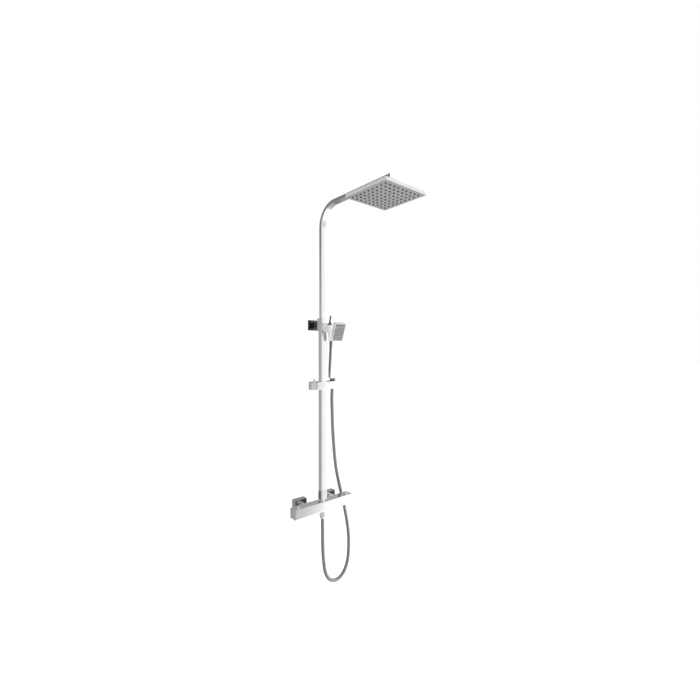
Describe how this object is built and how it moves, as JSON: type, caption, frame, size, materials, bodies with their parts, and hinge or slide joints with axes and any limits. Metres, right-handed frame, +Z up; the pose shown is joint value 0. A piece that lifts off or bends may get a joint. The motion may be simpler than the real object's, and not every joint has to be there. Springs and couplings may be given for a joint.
{
  "type": "rainfall shower column",
  "caption": "Wall-mounted shower column: bar valve with turning handles, telescopic riser with a tilting square rain head, sliding holder, hand shower and metal hose.",
  "frame": {"origin": "on the wall plane, midway between the two inlet studs", "axes": "+X right along the wall, +Y into the wall, +Z up the riser"},
  "size_m": [0.3241, 0.555, 1.6005],
  "materials": {
    "chrome": "polished chrome plating on brass",
    "plated_plastic": "polished chrome plating on ABS",
    "spray_face": "satin chrome plating on ABS",
    "nozzle_rubber": "soft grey silicone",
    "dark_trim": "glossy dark grey",
    "hose_metal": "chromed double-wound metal hose",
    "brass": "machined",
    "steel": "zinc plated",
    "white_plastic": "moulded acetal",
    "black_rubber": "moulded nitrile"
  },
  "bodies": {
    "root": {"valve_body": "chrome", "thermostatic_cartridge": "white_plastic", "flow_cartridge": "white_plastic", "handle_stop_rings": "white_plastic", "eccentric_connectors": "brass", "wall_rosettes": "chrome", "union_nuts": "chrome", "seals_and_washers": "black_rubber", "check_valves": "white_plastic", "riser_lower": "chrome", "riser_collar": "chrome", "riser_nipple": "chrome", "riser_foot": "white_plastic", "guide_bush": "white_plastic", "lock_housing": "chrome", "bracket_plate": "steel", "bracket_rosette": "chrome", "bracket_arm": "chrome", "bracket_grub_screw": "steel", "bracket_clamp": "chrome", "clamp_cover": "chrome", "outlet_nipple": "brass", "hose_outlet_nut": "chrome", "shower_hose": "hose_metal"},
    "temperature_control": {"temperature_handle": "plated_plastic", "temperature_spindle": "brass", "temperature_button_spring": "steel"},
    "temperature_button": {"temperature_button": "chrome"},
    "flow_control": {"flow_handle": "plated_plastic", "flow_spindle": "brass", "flow_button_spring": "steel"},
    "flow_button": {"flow_button": "chrome"},
    "upper_riser": {"riser_upper": "chrome", "arm_end_cap": "chrome", "riser_piston": "white_plastic", "riser_piston_seal": "black_rubber", "ball_stem": "chrome"},
    "ball_liner": {"ball_liner": "white_plastic"},
    "seat_ring": {"seat_ring": "white_plastic"},
    "rain_head": {"swivel_nut": "chrome", "head_shell": "plated_plastic", "head_face": "spray_face", "head_nozzle_mat": "nozzle_rubber", "head_gasket": "black_rubber"},
    "riser_lock": {"lock_spindle": "chrome", "lock_lever": "chrome"},
    "lock_plunger": {"lock_plunger": "steel"},
    "slider": {"slider_body": "plated_plastic", "slider_liner": "white_plastic", "holder_pivot": "steel", "holder_washer": "white_plastic"},
    "slider_knob": {"slider_knob": "chrome"},
    "slider_shoe": {"slider_shoe": "white_plastic"},
    "holder": {"holder": "plated_plastic"},
    "handset": {"handset_shell": "plated_plastic", "handset_face": "spray_face", "handset_slot_strip": "dark_trim", "handset_nozzle_mat": "nozzle_rubber", "handset_tail": "brass", "hose_cone_nut": "chrome"}
  },
  "joints": [
    {"name": "temperature_turn", "type": "hinge", "parent": "root", "child": "temperature_control", "pos_m": [0.1225, -0.072, 0], "axis": [1, 0, 0], "range_deg": [-180, 90]},
    {"name": "temperature_button_press", "type": "slide", "parent": "temperature_control", "child": "temperature_button", "axis": [0, 0, -1], "range_m": [0, 0.0022], "stiffness_N_per_m": 700, "springref_m": -0.002, "deforming": ["temperature_button_spring"]},
    {"name": "flow_turn", "type": "hinge", "parent": "root", "child": "flow_control", "pos_m": [-0.1225, -0.072, 0], "axis": [1, 0, 0], "range_deg": [-90, 90]},
    {"name": "flow_button_press", "type": "slide", "parent": "flow_control", "child": "flow_button", "axis": [0, 0, -1], "range_m": [0, 0.0022], "stiffness_N_per_m": 700, "springref_m": -0.002, "deforming": ["flow_button_spring"]},
    {"name": "riser_extend", "type": "slide", "parent": "root", "child": "upper_riser", "axis": [0, 0, 1], "range_m": [-0.25, 0.1]},
    {"name": "head_tilt_front", "type": "hinge", "parent": "upper_riser", "child": "ball_liner", "pos_m": [0, -0.437, 1.207], "axis": [1, 0, 0], "range_deg": [-10, 10]},
    {"name": "head_tilt_side", "type": "hinge", "parent": "ball_liner", "child": "seat_ring", "pos_m": [0, -0.437, 1.207], "axis": [0, 1, 0], "range_deg": [-10, 10]},
    {"name": "head_spin", "type": "hinge", "parent": "seat_ring", "child": "rain_head", "pos_m": [0, -0.437, 1.207], "axis": [0, 0, 1], "continuous": true},
    {"name": "lock_turn", "type": "hinge", "parent": "root", "child": "riser_lock", "pos_m": [0, -0.122, 0.735], "axis": [0, 0, 1], "range_deg": [0, 90]},
    {"name": "lock_release", "type": "slide", "parent": "root", "child": "lock_plunger", "axis": [0, -1, 0], "range_m": [0, 0.0005]},
    {"name": "slider_height", "type": "slide", "parent": "root", "child": "slider", "axis": [0, 0, 1], "range_m": [-0.22, 0.19], "deforming": ["shower_hose"]},
    {"name": "slider_knob_turn", "type": "hinge", "parent": "slider", "child": "slider_knob", "pos_m": [-0.0415, -0.072, 0.4995], "axis": [0, 0, 1], "range_deg": [0, 90]},
    {"name": "shoe_release", "type": "slide", "parent": "slider", "child": "slider_shoe", "axis": [-1, 0, 0], "range_m": [0, 0.0005]},
    {"name": "holder_tilt", "type": "hinge", "parent": "slider", "child": "holder", "pos_m": [0.03, -0.072, 0.4995], "axis": [1, 0, 0], "range_deg": [-5, 20]},
    {"name": "handset_lift", "type": "slide", "parent": "holder", "child": "handset", "axis": [0, -0.0854, 0.9963], "range_m": [0, 0.035]}
  ],
  "couplings": [
    {"joint": "lock_release", "follows": "lock_turn", "m_per_rad": 0.00031831},
    {"joint": "shoe_release", "follows": "slider_knob_turn", "m_per_rad": 0.00031831}
  ]
}
